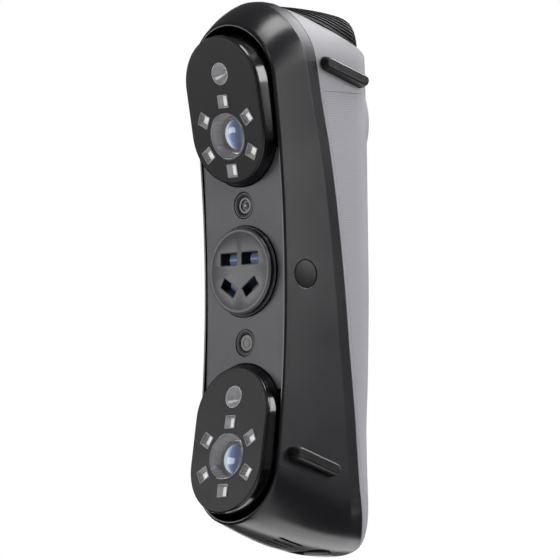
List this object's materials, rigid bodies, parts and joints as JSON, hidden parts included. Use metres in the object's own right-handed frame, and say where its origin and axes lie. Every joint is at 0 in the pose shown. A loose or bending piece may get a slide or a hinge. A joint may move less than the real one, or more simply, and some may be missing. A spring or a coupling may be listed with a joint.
{
  "type": "handheld 3d scanner",
  "caption": "Handheld stereo laser scanner: curved housing, tilted camera pods with light rings at both ends, round laser projector between them, buttons on the back.",
  "frame": {"origin": "centre of the scanner's bounding box", "axes": "+Z along the scanner's length towards the end with the vent cap, -Y the way the cameras look, +X to the side on the right of a viewer who faces the cameras"},
  "size_m": [0.053, 0.0652, 0.203],
  "materials": {
    "dark_shell": "charcoal painted plastic, smooth satin",
    "grey_shell": "light warm-grey matte plastic",
    "grip": "grey plastic with a fine textured surface",
    "black_plastic": "black moulded plastic",
    "front_panel": "dark grey matte plastic",
    "gloss_black": "polished black plastic",
    "satin_face": "dark satin plastic",
    "reflector_metal": "bright machined ring",
    "optical_glass": "coated glass",
    "circuit_board": "green solder mask",
    "rubber": "black rubber",
    "aluminium": "bead-blasted aluminium",
    "steel": "plain steel",
    "amber_film": "amber polyimide film"
  },
  "bodies": {
    "scanner": {"button_board": "circuit_board", "colour_camera": "black_plastic", "colour_camera_lens": "optical_glass", "control_pad": "grey_shell", "data_socket": "steel", "fan_housing": "black_plastic", "frame_screw_1": "steel", "frame_screw_2": "steel", "frame_screw_3": "steel", "frame_screw_4": "steel", "front_panel": "front_panel", "front_shell": "dark_shell", "heat_sink": "aluminium", "laser_block": "aluminium", "laser_lens_lower_left": "optical_glass", "laser_lens_lower_right": "optical_glass", "laser_lens_upper_left": "optical_glass", "laser_lens_upper_right": "optical_glass", "laser_module_lower_left": "steel", "laser_module_lower_right": "steel", "laser_module_upper_left": "steel", "laser_module_upper_right": "steel", "left_lower_foot": "rubber", "left_side_plug": "black_plastic", "left_upper_foot": "rubber", "lower_camera_board": "circuit_board", "lower_flex_cable": "amber_film", "lower_led_board": "circuit_board", "lower_lens_barrel": "black_plastic", "lower_lens_cone": "reflector_metal", "lower_lens_glass": "optical_glass", "lower_pod_cover": "satin_face", "lower_pod_housing": "gloss_black", "lower_reflector": "reflector_metal", "main_board": "circuit_board", "optical_frame": "aluminium", "port_seal": "rubber", "projector_housing": "satin_face", "range_sensor": "black_plastic", "range_sensor_window": "optical_glass", "rear_grip_panel": "grip", "rear_shell": "grey_shell", "right_lower_foot": "rubber", "right_side_plug": "black_plastic", "right_upper_foot": "rubber", "top_vent_cap": "black_plastic", "upper_camera_board": "circuit_board", "upper_flex_cable": "amber_film", "upper_led_board": "circuit_board", "upper_lens_barrel": "black_plastic", "upper_lens_cone": "reflector_metal", "upper_lens_glass": "optical_glass", "upper_pod_cover": "satin_face", "upper_pod_housing": "gloss_black", "upper_reflector": "reflector_metal"},
    "scan_button": {"scan_button": "black_plastic"},
    "plus_button": {"plus_button": "black_plastic"},
    "minus_button": {"minus_button": "black_plastic"},
    "fan_rotor": {"fan_rotor": "black_plastic"}
  },
  "joints": [
    {"name": "scan_press", "type": "slide", "parent": "scanner", "child": "scan_button", "axis": [0, -1, 0], "range_m": [0, 0.0008], "stiffness_N_per_m": 900},
    {"name": "plus_press", "type": "slide", "parent": "scanner", "child": "plus_button", "axis": [0, -1, 0], "range_m": [0, 0.0006], "stiffness_N_per_m": 900},
    {"name": "minus_press", "type": "slide", "parent": "scanner", "child": "minus_button", "axis": [0, -1, 0], "range_m": [0, 0.0006], "stiffness_N_per_m": 900},
    {"name": "fan_spin", "type": "hinge", "parent": "scanner", "child": "fan_rotor", "pos_m": [0, 0.00843, 0.0768], "axis": [0, 0, 1], "continuous": true}
  ]
}
